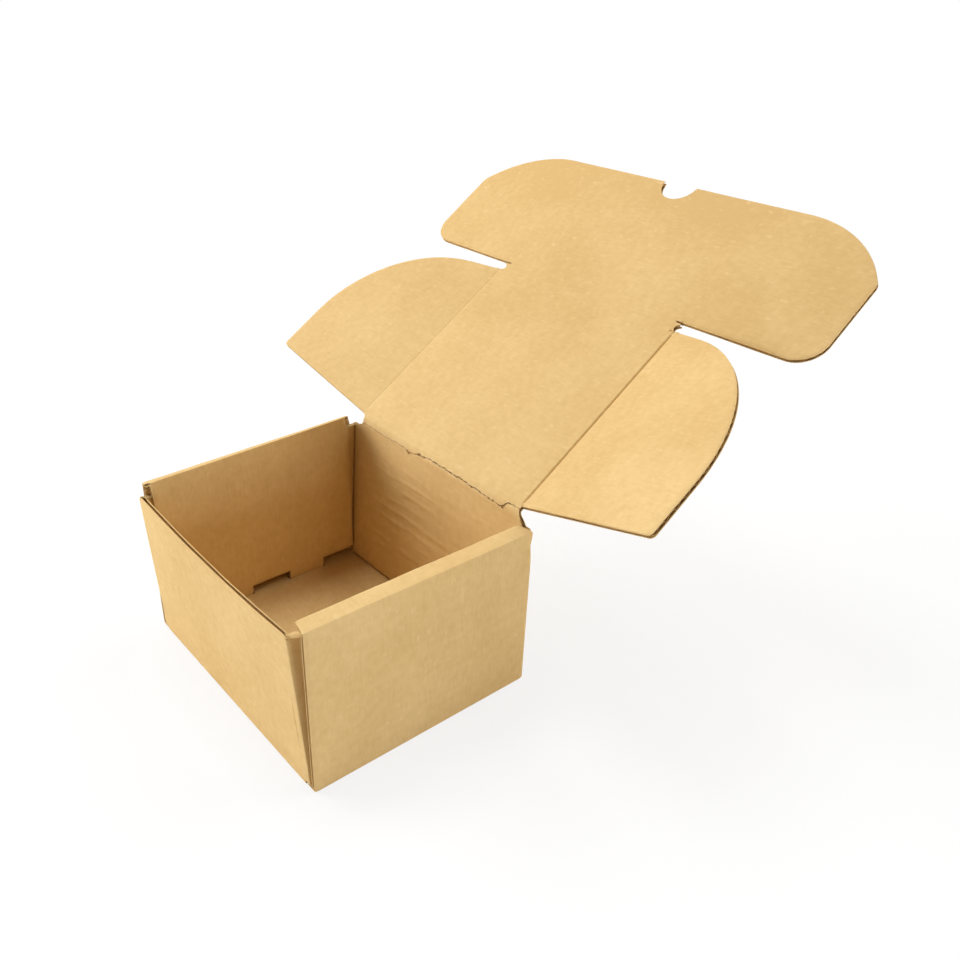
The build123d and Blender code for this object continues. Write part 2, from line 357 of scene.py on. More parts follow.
def tidy(places):
    """Places in order, without repeats closer than a tenth of a micrometre."""
    places = np.sort(places)
    return places[np.concatenate(([True], np.diff(places) > 1e-7))]


def grid_faces(rows, cells):
    """Four-cornered faces between neighbouring points of a grid."""
    index = np.arange(rows * cells).reshape(rows, cells)
    return np.stack((index[:-1, :-1], index[:-1, 1:], index[1:, 1:], index[1:, :-1]), axis=-1).reshape(-1, 4)


def shell(place, p, q, top, bottom, side, wear=0.0):
    """Closed thin sheet: the surfaces place(p, q, top) and place(p, q, bottom), joined round their rim."""
    rows, cells = p.shape
    points = np.concatenate((place(p, q, top).reshape(-1, 3), place(p, q, bottom).reshape(-1, 3)))
    index = np.arange(rows * cells).reshape(rows, cells)
    face = grid_faces(rows, cells)
    rim = np.concatenate((index[0], index[1:, -1], index[-1, -2::-1], index[-2:0:-1, 0]))
    following = np.roll(rim, -1)
    under = rows * cells
    wall = np.stack((following, rim, rim + under, following + under), axis=-1)
    quads = np.concatenate((face, face[:, ::-1] + under, wall))
    corner = points[quads]
    volume = np.einsum("ij,ij->", corner[:, 0], np.cross(corner[:, 1], corner[:, 2]))
    volume += np.einsum("ij,ij->", corner[:, 0], np.cross(corner[:, 2], corner[:, 3]))
    if volume < 0:
        quads = quads[:, ::-1]
    laid = np.stack((p, q), axis=-1).reshape(-1, 2)
    rubbed = np.broadcast_to(wear, p.shape).reshape(-1)
    return {
        "points": points,
        "quads": quads,
        "flat": np.concatenate((laid, laid)),
        "side": np.full(2 * under, side),
        "wear": np.concatenate((rubbed, 0 * rubbed)),
    }


def flat(p, q):
    """No relief."""
    return 0 * p


def fluted(place, p, q, top, bottom):
    """Fluted sheet between two faces: half the room between their liners times the sine of q."""
    board = bpy.context.scene.box_board
    swing = np.maximum((top - bottom) / 2 - board.liner - board.medium / 2, 0.00002)
    middle = (top + bottom) / 2 + swing * np.sin(2 * math.pi * q / board.pitch)
    return shell(place, p, q, middle + board.medium / 2, middle - board.medium / 2, 0.5)


def level(value):
    """An edge at the same place all along q."""
    return lambda q: np.full(q.shape, value)


def flap_edges(side, near, far):
    """Low and high edge of a flap from near to far(q) on the right side, mirrored on the left."""
    edges = level(side * near), lambda q: side * far(q)
    return edges if side > 0 else edges[::-1]


def corrugated(place, q, low, high, steps, inner=flat, outer=flat, cut=(True,) * 4, squash=None, core=None):
    """Corrugated board over low(q) <= p <= high(q): two liners and between them a sheet waved along q.

    steps are the places across, from 0 at low to 1 at high, and core those of the waved sheet. inner and
    outer add relief to the two faces, cut says which of the edges low, high, first q and last q are cut,
    where the board is crushed thinner, and squash(p, q) is a further share of thickness left.
    """
    board = bpy.context.scene.box_board
    half, liner = board.board / 2, board.liner

    def grid(places, across_steps, inset):
        near = low(places) + inset * cut[0]
        far = np.maximum(high(places) - inset * cut[1], near + 0.00005)
        across = near[:, None] + (far - near)[:, None] * across_steps
        along = np.broadcast_to(places[:, None], across.shape)
        room = np.full(across.shape, 1.0)
        edges = (across - near[:, None], far[:, None] - across, along - q[0], q[-1] - along)
        for is_cut, distance in zip(cut, edges):
            if is_cut:
                room = np.minimum(room, np.abs(distance))
        thick = 1 - board.crushed * bell(room, RIM)
        if squash is not None:
            thick = thick * squash(across, along)
        return across, along, half * thick + inner(across, along), -half * thick - outer(across, along)

    p, s, top, bottom = grid(q, steps, 0.0)
    upper = shell(place, p, s, top, top - liner, 1.0)
    lower = shell(place, p, s, bottom + liner, bottom, 0.0)
    waves = columns(q[0] + INSET * cut[2], q[-1] - INSET * cut[3], board.pitch / 10, rim=(False, False))
    middle = fluted(place, *grid(waves, spread(5) if core is None else core, INSET))
    return [upper, lower, middle]


def new_object(name, data):
    """Object in the scene that shows the data."""
    holder = bpy.data.objects.new(name, data)
    bpy.context.scene.collection.objects.link(holder)
    return holder


def sheet_piece(name, shells):
    """One mesh object from closed thin sheets, with flat-sheet coordinates, face side and wear kept on it."""
    counts = np.cumsum([0] + [len(part["points"]) for part in shells])
    points = np.concatenate([part["points"] for part in shells])
    quads = np.concatenate([part["quads"] + first for part, first in zip(shells, counts)])
    mesh = bpy.data.meshes.new(name)
    mesh.vertices.add(len(points))
    mesh.vertices.foreach_set("co", points.astype(np.float32).ravel())
    mesh.loops.add(quads.size)
    mesh.loops.foreach_set("vertex_index", quads.astype(np.int32).ravel())
    mesh.polygons.add(len(quads))
    mesh.polygons.foreach_set("loop_start", np.arange(0, quads.size, 4, dtype=np.int32))
    mesh.update(calc_edges=True)
    where = np.concatenate([part["flat"] for part in shells])
    mesh.uv_layers.new(name="sheet").data.foreach_set("uv", where[quads.ravel()].astype(np.float32).ravel())
    for key in ("side", "wear"):
        values = np.concatenate([part[key] for part in shells]).astype(np.float32)
        mesh.attributes.new(key, "FLOAT", "POINT").data.foreach_set("value", values)
    mesh.polygons.foreach_set("use_smooth", np.ones(len(quads), bool))
    mesh.set_sharp_from_angle(angle=math.radians(38))
    mesh.materials.append(kraft_material())
    mesh.validate()
    piece = new_object(name, mesh)
    return piece


def whole_piece(name, shells, body):
    """Sheet piece that rides on a body and stands in for its solid."""
    piece = sheet_piece(name, shells)
    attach(piece, body)
    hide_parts(body)


def bending_piece(name, shells):
    """Sheet piece over a crease, from one body to the other, from just before its crease's centre to just after,
    with its placement baked into its mesh.
    """
    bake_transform(sheet_piece(name, shells))


def joint_place(name):
    """Point on a joint's axis, from the frame."""
    return np.array(JOINTS[name]["pos_m"], float)


def rest_bend(name):
    """How far a flap is folded in as it stands: its joint goes back by that much to lie flat."""
    return -math.radians(JOINTS[name]["range_deg"][0])


def tray_line():
    """Middle line of front wall, base and back wall in (y, z), with q = y on the base."""
    board, tray, _ = settings()
    half, run, rise = board.board / 2, math.sin(tray.splay), math.cos(tray.splay)
    corner = tray.depth / 2 - half * rise + run * half * (1 - run) / rise

    def up(height):
        return np.array((tray.depth / 2 - half * rise + height * run, half * run + height * rise))

    front, hinge, foot = up(tray.front) * (-1, 1), up(tray.back), np.array((corner - tray.back_foot, half))
    back = hinge + (foot - hinge) * tray.hinge_foot / np.hypot(*(foot - hinge))
    line = folded_line([front, (-corner, half), foot, back], [tray.bend, tray.bend])
    middle = np.interp(0.0, line[1], line[0])
    return (line[0] - middle,) + line[1:]


def sheet_start():
    """Where the hinge lies on the flat sheet."""
    return tray_line()[0][-1] + bpy.context.scene.box_tray.hinge_foot


def half_widths():
    """Half widths of an end wall: over its corner folds, between them, and at the foot of the hinge's strip."""
    board, tray, lid = settings()
    over = tray.width / 2 - board.board - tray.gap
    between = over - tray.fold
    return over, between, lid.width / 2 + (between - lid.width / 2) * tray.hinge_foot / tray.shoulder


def front_lean(side, up):
    """How far an end of the front wall stands in at a height: even on the right, a parabola on the left."""
    tray = bpy.context.scene.box_tray
    share_up = np.clip(up / tray.front, 0, 1)
    left = tray.lean_left + (tray.lean_foot - tray.lean_left) * (1 - share_up) ** 2
    return np.where(side > 0, tray.lean_right * share_up, left * smooth((up - 0.003) / 0.008))


def lid_frame():
    """Origin at the hinge, direction along the open lid and its inner face's normal."""
    lean = rest_bend("lid_hinge")
    along = np.array((0.0, math.cos(lean), math.sin(lean)))
    return joint_place("lid_hinge"), along, np.array((0.0, -along[2], along[1]))


def turned(along, facing, turn):
    """Both directions of a panel after it is folded towards its inner face."""
    c, s = math.cos(turn), math.sin(turn)
    return c * along + s * facing, c * facing - s * along


def panel(origin, across, along, facing, first, side=1, edge=0.0):
    """Flat panel: origin + (side p - edge) across + (q - first) along + n facing."""

    def place(p, q, n):
        off, ahead = side * p - edge, q - first
        return origin + off[..., None] * across + ahead[..., None] * along + n[..., None] * facing

    return place


def strip_place(line, origin, along, facing, first):
    """Strip over a crease: its line lies in the plane of along and facing, and p runs along X."""

    def place(p, q, n):
        a, b = on_line(line, q - first, n)
        spot = origin + a[..., None] * along + b[..., None] * facing
        spot[..., 0] += p
        return spot

    return place


def dust_edge():
    """Outline of a dust flap as reach against place along the crease: foot, round tip, side, arc and end."""
    lid = bpy.context.scene.box_lid
    _, reach, place, _ = folded_line(
        [(0, lid.dust_foot), (lid.dust_reach, lid.dust_tip), (lid.dust_reach, lid.dust_side)], [lid.dust_round]
    )
    run, rise = lid.dust_reach - lid.dust_top, lid.length - lid.dust_drop - lid.dust_side
    radius = (run**2 + rise**2) / (2 * run)
    sweep = np.linspace(0, math.atan2(rise, radius - run), 40)[1:]
    arc = lid.dust_reach - radius * (1 - np.cos(sweep)), lid.dust_side + radius * np.sin(sweep)
    end = (0.0,), (lid.length - lid.slot,)
    return np.concatenate((reach, arc[0], end[0])), np.concatenate((place, arc[1], end[1]))


def ear_edge():
    """Outline of an ear as reach against depth: foot, round corner, side, nose and a large arc to the top."""
    lid = bpy.context.scene.box_lid
    sweep = np.linspace(0, math.pi / 2, 14)
    corner = (
        lid.ear_reach - lid.ear_corner * (1 - np.sin(sweep)),
        lid.ear_foot + lid.ear_corner * (1 - np.cos(sweep)),
    )
    run = lid.ear_reach - lid.ear_top
    radius = (run**2 + lid.ear_drop**2) / (2 * lid.ear_drop)
    widest = math.atan2(run, radius - lid.ear_drop)
    sweep = np.linspace(widest - lid.ear_nose / radius, 0, 36)
    arc = lid.ear_top + radius * np.sin(sweep), lid.tuck - radius * (1 - np.cos(sweep))
    t = np.linspace(0, 1, 8)[:-1]
    start, nose = lid.tuck - lid.ear_drop - lid.ear_nose, lid.tuck - lid.ear_drop
    bend = (
        (1 - t) ** 2 * lid.ear_reach + 2 * t * (1 - t) * lid.ear_reach + t**2 * arc[0][0],
        (1 - t) ** 2 * start + 2 * t * (1 - t) * nose + t**2 * arc[1][0],
    )
    return np.concatenate((corner[0], bend[0], arc[0])), np.concatenate((corner[1], bend[1], arc[1]))


def add_math(tree, operation, one, two):
    """Math node with both its values linked."""
    node = tree.nodes.new("ShaderNodeMath")
    node.operation = operation
    tree.links.new(one, node.inputs[0])
    tree.links.new(two, node.inputs[1])
    return node.outputs["Value"]


def add_range(tree, value, low, high, to_low, to_high, curve="LINEAR"):
    """Map Range node: low to high becomes to_low to to_high."""
    node = tree.nodes.new("ShaderNodeMapRange")
    node.interpolation_type = curve
    for key, number in zip(("From Min", "From Max", "To Min", "To Max"), (low, high, to_low, to_high)):
        node.inputs[key].default_value = number
    tree.links.new(value, node.inputs["Value"])
    return node.outputs["Result"]


def paper_group():
    """Node group: mottling, fibres and flecks of unbleached paper, on flat-sheet coordinates in metres."""
    group = bpy.data.node_groups.get("paper_fibres")
    if group:
        return group
    group = bpy.data.node_groups.new("paper_fibres", "ShaderNodeTree")
    group.interface.new_socket(name="Vector", in_out="INPUT", socket_type="NodeSocketVector")
    for name in ("Tone", "Fleck", "Speck", "Height"):
        group.interface.new_socket(name=name, in_out="OUTPUT", socket_type="NodeSocketFloat")
    nodes, link = group.nodes, group.links.new
    source, result = nodes.new("NodeGroupInput"), nodes.new("NodeGroupOutput")

    def noise(scale, stretch=(1, 1, 1), detail=2.0, offset=(0, 0, 0)):
        mapping = nodes.new("ShaderNodeMapping")
        mapping.inputs["Scale"].default_value = stretch
        mapping.inputs["Location"].default_value = offset
        texture = nodes.new("ShaderNodeTexNoise")
        for key, number in (("Scale", scale), ("Detail", detail), ("Roughness", 0.55)):
            texture.inputs[key].default_value = number
        link(source.outputs["Vector"], mapping.inputs["Vector"])
        link(mapping.outputs["Vector"], texture.inputs["Vector"])
        return texture.outputs["Fac"]

    def patches(strength, scale, **form):
        return add_range(group, noise(scale, **form), 0.3, 0.7, -strength, strength)

    def spots(low, high, scale, **form):
        return add_range(group, noise(scale, **form), low, high, 0, 1, "SMOOTHSTEP")

    broad = patches(0.45, 22)
    mottle = patches(0.32, 310, stretch=(1, 0.75, 1), detail=2.5)
    fibre = patches(0.25, 900, stretch=(0.22, 1, 1), offset=(0.31, 0.17, 0))
    link(add_math(group, "ADD", add_math(group, "ADD", broad, mottle), fibre), result.inputs["Tone"])
    link(spots(0.61, 0.74, 420, stretch=(0.55, 1, 1), offset=(0.7, 0.2, 0.4)), result.inputs["Fleck"])
    link(spots(0.7, 0.8, 1500, stretch=(0.8, 1, 1), offset=(0.1, 0.9, 0.8)), result.inputs["Speck"])
    link(add_math(group, "ADD", fibre, mottle), result.inputs["Height"])
    return group


def kraft_material():
    """Unbleached liner: patchy brown with flecks, browner towards the tuck flap, rubbed pale where worn."""
    material = bpy.data.materials.get("kraft_paper")
    if material:
        return material
    kraft = bpy.context.scene.box_kraft
    material = bpy.data.materials.new("kraft_paper")
    material.use_nodes = True
    tree = material.node_tree
    nodes, link = tree.nodes, tree.links.new
    shader = nodes["Principled BSDF"]
    shader.inputs["Specular IOR Level"].default_value = 0.15

    def mark(name):
        node = nodes.new("ShaderNodeAttribute")
        node.attribute_name = name
        return node.outputs["Fac"]

    def mix(factor, one, two):
        node = nodes.new("ShaderNodeMix")
        node.data_type = "RGBA"
        link(factor, node.inputs["Factor"])
        for key, value in (("A", one), ("B", two)):
            socket = next(s for s in node.inputs if s.name == key and s.type == "RGBA")
            if isinstance(value, bpy.types.NodeSocket):
                link(value, socket)
            else:
                socket.default_value = (*value, 1.0)
        return next(s for s in node.outputs if s.type == "RGBA")

    sheet = nodes.new("ShaderNodeUVMap")
    sheet.uv_map = "sheet"
    side, wear = mark("side"), mark("wear")
    depth = nodes.new("ShaderNodeCombineXYZ")
    link(side, depth.inputs["Z"])
    where = nodes.new("ShaderNodeVectorMath")
    where.operation = "ADD"
    link(sheet.outputs["UV"], where.inputs[0])
    link(depth.outputs["Vector"], where.inputs[1])
    paper = nodes.new("ShaderNodeGroup")
    paper.node_tree = paper_group()
    link(where.outputs["Vector"], paper.inputs["Vector"])
    tone = paper.outputs["Tone"]
    place = nodes.new("ShaderNodeSeparateXYZ")
    link(sheet.outputs["UV"], place.inputs["Vector"])
    browner = add_math(tree, "SUBTRACT", tone, add_range(tree, place.outputs["Y"], 0.13, 0.27, 0, 0.8))
    shade = mix(add_range(tree, browner, -1, 1, 0, 1), kraft.dark, kraft.light)
    shade = mix(add_range(tree, paper.outputs["Fleck"], 0, 1, 0, 0.28), shade, kraft.fleck)
    shade = mix(add_range(tree, paper.outputs["Speck"], 0, 1, 0, 0.45), shade, kraft.speck)
    rubbed = add_math(tree, "MULTIPLY", add_range(tree, tone, -0.6, 0.5, 0.25, 1), wear)
    shade = mix(rubbed, shade, kraft.scuff)
    between = nodes.new("ShaderNodeMath")
    between.operation = "COMPARE"
    between.inputs[1].default_value = 0.5
    between.inputs[2].default_value = 0.2
    link(side, between.inputs[0])
    shade = mix(between.outputs["Value"], shade, kraft.core)
    link(shade, shader.inputs["Base Color"])
    link(add_range(tree, tone, -1, 1, 0.92, 0.8), shader.inputs["Roughness"])
    bump = nodes.new("ShaderNodeBump")
    bump.inputs["Strength"].default_value = 0.35
    bump.inputs["Distance"].default_value = 0.00006
    link(paper.outputs["Height"], bump.inputs["Height"])
    link(bump.outputs["Normal"], shader.inputs["Normal"])
    return material


class BOX_OT_base_and_walls(Operator):
    """Fold the base, front wall and back wall from one strip"""

    bl_idname = "box.base_and_walls"
    bl_label = "Base and end walls"

    def execute(self, context):
        board, tray, _ = settings()
        line = tray_line()
        folds = bends(line)
        _, fold_half, top_half = half_widths()
        slot_in = tray.width / 2 - 3 * board.board - 3 * tray.gap
        slot_out = slot_in + board.board + 2 * tray.gap
        slot_half = tray.tab_width / 2 + tray.slot_gap
        near, far = tray.tab_pitch / 2 - slot_half, tray.tab_pitch / 2 + slot_half
        first, last, hinge = line[0][0], line[0][-1], sheet_start()
        shoulder = hinge - tray.shoulder
        base = tray.depth / 2 - tray.base_end
        wall = base + 0.012
        marks = np.array((near - STEP, near, far, far + STEP, base, base + STEP))
        widths = np.array((slot_out, slot_in, slot_in, slot_out, slot_out, fold_half))

        def half_width(q):
            inside = np.interp(np.abs(q), marks, widths)
            return np.where(q > shoulder, np.interp(q, (shoulder, last), (fold_half, top_half)), inside)

        def place(p, q, n):
            up = np.clip(tray.front - (q - first), 0, tray.front)
            bow = tray.bow * (1 - (p / fold_half) ** 2) * (up / tray.front) ** 2
            y, z = on_line(line, q, n - bow)
            x = p - np.sign(p) * front_lean(p, up) * smooth((np.abs(p) - 0.026) / (fold_half - 0.026))
            return np.stack((x, y, z), axis=-1)

        def inside(p, q):
            """Back wall's washboard, broken in places and fading at its ends, small dents and a torn spot."""
            height = (q - wall) / (hinge - wall)
            span = smooth(height / 0.1) * smooth((0.86 - height) / 0.12)
            broken = 0.4 + 1.1 * patchy(0.45 * p, q, 0.0055, 3) + 0.5 * patchy(p, q, 0.004, 4)
            broken = broken * (0.15 + 0.85 * smooth((p + 0.047) / 0.02))
            phase = 2 * math.pi * q / board.pitch + 0.8 * patchy(p, q, 0.014, 5)
            wave = np.sin(phase) + 0.6 * patchy(0.5 * p, q, 0.009, 9) * np.sin(2 * phase + 1.0)
            washboard = tray.washboard * np.clip(broken, 0, 1.4) * wave
            tear = tray.tear * bell(p + 0.015, 0.0022) * bell(q - hinge + 0.0262, 0.0012)
            dents = 0.00008 * patchy(p, q, 0.006, 6)
            base_dents = 0.00006 * patchy(p, q, 0.014, 7) * (q < wall)
            pressed = furrow(q, folds, (tray.fold_pinch, tray.fold_pinch))
            return span * (washboard + dents - tear) + base_dents - pressed

        def outside(p, q):
            """Soft unevenness and faint flutes on the walls, none on the base, and crisp folds."""
            relief = 0.00012 * patchy(p, q, 0.02, 8) + 0.00003 * np.sin(2 * math.pi * q / board.pitch)
            relief = relief * smooth((np.abs(q) - base - 0.003) / 0.008)
            return relief + crisp(line, q, board.board / 2 + tray.bend)

        rows = columns(first, last, ROW, rim=(True, False)), columns(wall, last, 0.0005, rim=(False, False))
        q = np.concatenate((*rows, close_to(folds), line[0], marks, -marks))
        q = tidy(q[(q >= first) & (q <= last)])
        cut = (False, False, True, False)
        shells = corrugated(
            place, q, lambda s: -half_width(s), half_width, spread(50), inside, outside, cut=cut, core=spread(9)
        )
        whole_piece("base_and_end_walls", shells, "tray")
        return {"FINISHED"}


class BOX_OT_rolled_sides(Operator):
    """Roll each side wall over from the base: outer panel, top strip, inner panel and lock tabs"""

    bl_idname = "box.rolled_sides"
    bl_label = "Rolled sides"

    def execute(self, context):
        for side, name in ((1, "right_side"), (-1, "left_side")):
            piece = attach(sheet_piece(name, self.layers(side)), "tray")
            if side < 0:
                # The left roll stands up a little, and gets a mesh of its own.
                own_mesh(piece)
        return {"FINISHED"}

    def layers(self, side):
        """Liners and fluted sheet of one side: its folded line carried along q, with ends that slope in."""
        board, tray, _ = settings()
        half = board.board / 2
        outer = tray.width / 2 - half
        inner = tray.width / 2 - 3 * board.board - 2 * tray.gap + half
        start = inner + half + tray.gap
        head = tray.side - half
        corners = [(start, half), (outer, half), (outer, head), (inner, head), (inner, tray.tab_lift)]
        line = folded_line(corners, [tray.bend, tray.roll, tray.roll], start)
        folds = bends(line)
        pinches = (tray.fold_pinch, tray.roll_pinch, tray.roll_pinch)
        edge, strip, end = folds[1], folds[2], line[0][-1]
        foot = end - (tray.inner_lift - tray.tab_lift)
        knots = np.array((start, edge, strip, strip + tray.notch_head, foot, end))
        insets = (tray.side_end, tray.side_end, tray.inner_head, tray.inner_foot, tray.inner_foot)
        front = tray.depth / 2 - np.interp(knots, knots[[0, 1, 2, 4, 5]], insets)
        if side > 0:
            outer_more, strip_more, inner_more = tray.outer_right, tray.inner_right, tray.inner_right
            notch = tray.notch
        else:
            outer_more, strip_more, inner_more = tray.outer_left, tray.strip_left, tray.inner_left
            notch = 0.0
        back = front + np.array((0, outer_more, strip_more, inner_more, 0.45 * inner_more, 0.45 * inner_more))
        front = front - np.array((0, 0, 0, notch, notch / 2, notch / 2))
        scale = front[0]

        def depth(p, q):
            return q / scale * np.where(q > 0, np.interp(p, knots, back), np.interp(p, knots, front))

        def lift(p, q):
            """Left roll: both edges stand higher towards the back, and the inner one above the outer one."""
            back_share = (q / scale + 1) / 2
            rise = tray.rise_front + (tray.rise_back - tray.rise_front) * back_share
            tilt = tray.tilt_front + (tray.tilt_back - tray.tilt_front) * back_share
            lifted = np.interp(p, (start + 0.003, edge, strip, foot, end), (0, 1, 1, 0.45, 0.15))
            return rise * lifted + tilt * np.interp(p, (edge, strip, foot, end), (0, 1, 0.45, 0.15))

        def place(p, q, n):
            along = np.abs(p)
            x, z = on_line(line, along, n)
            if side < 0:
                x = x + 0.0007 * np.interp(along, (edge, strip, strip + 0.02), (0, 1, 0))
                z = z + lift(along, q)
            return np.stack((side * x, depth(along, q), z), axis=-1)

        middle, reach, radius = tray.tab_pitch / 2, tray.tab_width / 2, tray.tab_radius

        def far_edge(q):
            """Foot of the inner panel, with its two tabs and their round corners."""
            off = np.abs(np.abs(depth(np.full(q.shape, foot), q)) - middle) - (reach - radius)
            bend = np.sqrt(np.clip(1 - (np.clip(off, 0, radius) / radius) ** 2, 0, 1))
            return np.where(off <= radius, end - radius * (1 - bend), foot)

        def wear(p, q):
            ridge = bell(p - edge, 0.0009) + 0.35 * bell(p - strip, 0.0009)
            return np.clip(ridge * (0.55 + 0.6 * patchy(p, q, 0.004, 11)), 0, 1)

        def relief(p, q):
            """Soft bumps, a slanting dent near the back of the outer panel and a scratch on the inner one."""
            up = p - edge + head
            bumps = 0.0001 * patchy(p, q, 0.012, 12) + 0.00005 * patchy(p, q, 0.005, 13)
            bumps = bumps * smooth((scale - np.abs(q)) / 0.008) * smooth((p - start - 0.004) / 0.004)
            slant = ((q - 0.0425) - 0.93 * (up - 0.057)) / 1.366
            on_slant = (0.93 * (q - 0.0425) + (up - 0.057)) / 1.366
            dent = bell(slant, 0.003) * smooth((on_slant + 0.013) / 0.01) * smooth((head - up) / 0.006)
            across = (q + 0.014) - 0.9 * (p - strip - 0.012)
            scratch = bell(across, 0.0009) - bell(across - 0.0032, 0.0009)
            scratch = scratch * bell(p - strip - 0.012, 0.009)
            dent_depth, scratch_depth = (0.0007, 0.00006) if side > 0 else (0.0002, 0.00022)
            return bumps - dent_depth * dent + scratch_depth * scratch

        last_run = end - 0.012
        tail = np.linspace(0, 1, 12)[1:] ** 0.8

        def grid(places, steps, inset):
            far = far_edge(places)[:, None] - inset
            runs = np.broadcast_to(steps, (len(places), len(steps)))
            p = np.concatenate((runs, last_run + (far - last_run) * tail), axis=1)
            q = np.broadcast_to(places[:, None], p.shape)
            thick = half * (1 - board.crushed * bell(np.minimum(scale - np.abs(q), far - p), RIM))
            square = crisp(line, p, half + tray.roll)
            return side * p, q, thick - furrow(p, folds, pinches), -thick - relief(p, q) - square

        sides = np.array((middle - reach, middle + reach))
        turns = np.concatenate((sides * scale / back[4], -sides * scale / front[4]))
        marks = np.concatenate((close_to(turns, 0.0022, 11), turns * 1.0005, turns * 0.9995))
        fine = tidy(np.concatenate((line[0], np.arange(start, last_run, 0.002), close_to(folds))))
        coarse = np.concatenate((line[0], close_to(folds, 0.003, 7), np.arange(edge - 0.03, edge, 0.004)))
        coarse = tidy(coarse[(coarse >= start) & (coarse <= last_run)])
        p, q, top, bottom = grid(columns(-scale, scale, CLOSE_ROW, marks), fine[fine <= last_run], 0.0)
        waves = columns(-scale + INSET, scale - INSET, board.pitch / 10, marks, (False, False))
        return [
            shell(place, p, q, top, top - board.liner, 1.0),
            shell(place, p, q, bottom + board.liner, bottom, 0.0, wear(np.abs(p), q)),
            fluted(place, *grid(waves, coarse, INSET)),
        ]


class BOX_OT_corner_flaps(Operator):
    """Fold the corner flaps from the ends of the front and back walls into the rolled sides"""

    bl_idname = "box.corner_flaps"
    bl_label = "Corner flaps"

    def execute(self, context):
        tray = context.scene.box_tray
        front = -1, tray.front, tray_line()[0][0] + tray.front
        back = 1, tray.back - tray.shoulder, sheet_start() - tray.back
        self.flap("front_right_corner_flap", 1, tray.front_head, *front)
        self.flap("front_left_corner_flap", -1, tray.front_head, *front)
        self.flap("back_right_corner_flap", 1, tray.flap_head, *back)
        self.flap("back_left_corner_flap", -1, tray.front_head, *back)
        return {"FINISHED"}

    def flap(self, name, side, drop, facing, height, zero):
        """One flap: a fold at its wall's end carried up the leaning wall, with round free corners.

        It belongs to the wall that faces that way along Y, is that high and starts at zero on the sheet.
        """
        board, tray, _ = settings()
        half, radius = board.board / 2, tray.flap_round
        over, start, _ = half_widths()
        corners = [(start, half), (over - half, half), (over - half, tray.flap)]
        line = folded_line(corners, [tray.bend], start)
        folds = bends(line)
        end, bend = line[0][-1], line[0][-2] + 0.0003
        run, rise = math.sin(tray.splay), math.cos(tray.splay)
        origin = np.array((0.0, facing * tray.depth / 2, 0.0))
        inward, upward = np.array((0.0, -facing * rise, run)), np.array((0.0, facing * run, rise))
        foot, head = tray.flap_foot, height - drop
        tail = head - tray.flap_tail
        turns = (foot - STEP, foot, head, head + STEP, tail, tail + STEP)
        rounds = np.linspace(0, radius, 8)
        q = tidy(zero + facing * np.concatenate((columns(half, height, ROW), turns, foot + rounds, tail - rounds)))
        spans = (0, 0.045, 7), (0.048, 0.075, 13), (0.085, 0.23, 16), (0.26, 1, 14)
        steps = np.concatenate([np.linspace(*span) for span in spans])
        steps = steps if side > 0 else 1 - steps[::-1]

        def far_edge(q):
            up = (q - zero) * facing
            corner = np.clip(np.maximum(foot + radius - up, up - tail + radius), 0, radius)
            reach = end - radius + np.sqrt(np.clip(radius**2 - corner**2, 0, None))
            reach = np.where(up > tail, np.interp(up, (tail, head), (end - radius, bend)), reach)
            return np.where((up < foot) | (up > head), bend, reach)

        def place(p, q, n):
            x, deep = on_line(line, np.abs(p), n)
            up = (q - zero) * facing
            spot = origin + deep[..., None] * inward + up[..., None] * upward
            if facing < 0:
                begin = 0.0025 + 0.0026 * np.clip(up / height, 0, 1) if side > 0 else 0.0008
                run_in = 0.0032 if side > 0 else 0.0022
                x = x - front_lean(side, up) * (1 - smooth((np.abs(p) - start - begin) / run_in))
            else:
                spot[..., 1] -= tray.back_foot * (1 - up / tray.back)
            spot[..., 0] += side * x
            return spot

        shells = corrugated(
            place,
            q,
            *flap_edges(side, start, far_edge),
            steps,
            lambda p, s: -furrow(np.abs(p), folds, (tray.fold_pinch,)),
            lambda p, s: crisp(line, np.abs(p), half + tray.bend),
            cut=(side < 0, side > 0, True, True),
            core=steps,
        )
        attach(sheet_piece(name, shells), "tray")


class BOX_OT_lid(Operator):
    """Lay out the lid between its creases"""

    bl_idname = "box.lid"
    bl_label = "Lid"

    def execute(self, context):
        board, _, lid = settings()
        origin, along, facing = lid_frame()
        half, first = lid.width / 2 - board.crease, sheet_start()
        place = panel(origin, ACROSS, along, facing, first)

        def relief(p, q):
            return 0.00009 * smooth((half - np.abs(p)) / 0.01) * patchy(p, q, 0.016, 21)

        q = first + columns(board.crease, lid.length - board.crease, ROW, rim=(False, False))
        shells = corrugated(
            place, q, level(-half), level(half), spread(42), relief, relief, cut=(False,) * 4
        )
        whole_piece("lid_board", shells, "lid")
        return {"FINISHED"}


def dust_places(side):
    """Flat dust flap beyond its crease: origin on the crease, directions across, along and facing, and bend."""
    lid = bpy.context.scene.box_lid
    origin, along, facing = lid_frame()
    bend = rest_bend("right_dust_fold" if side > 0 else "left_dust_fold")
    across, normal = turned(side * ACROSS, facing, bend)
    return origin + side * lid.width / 2 * ACROSS, across, along, normal, bend


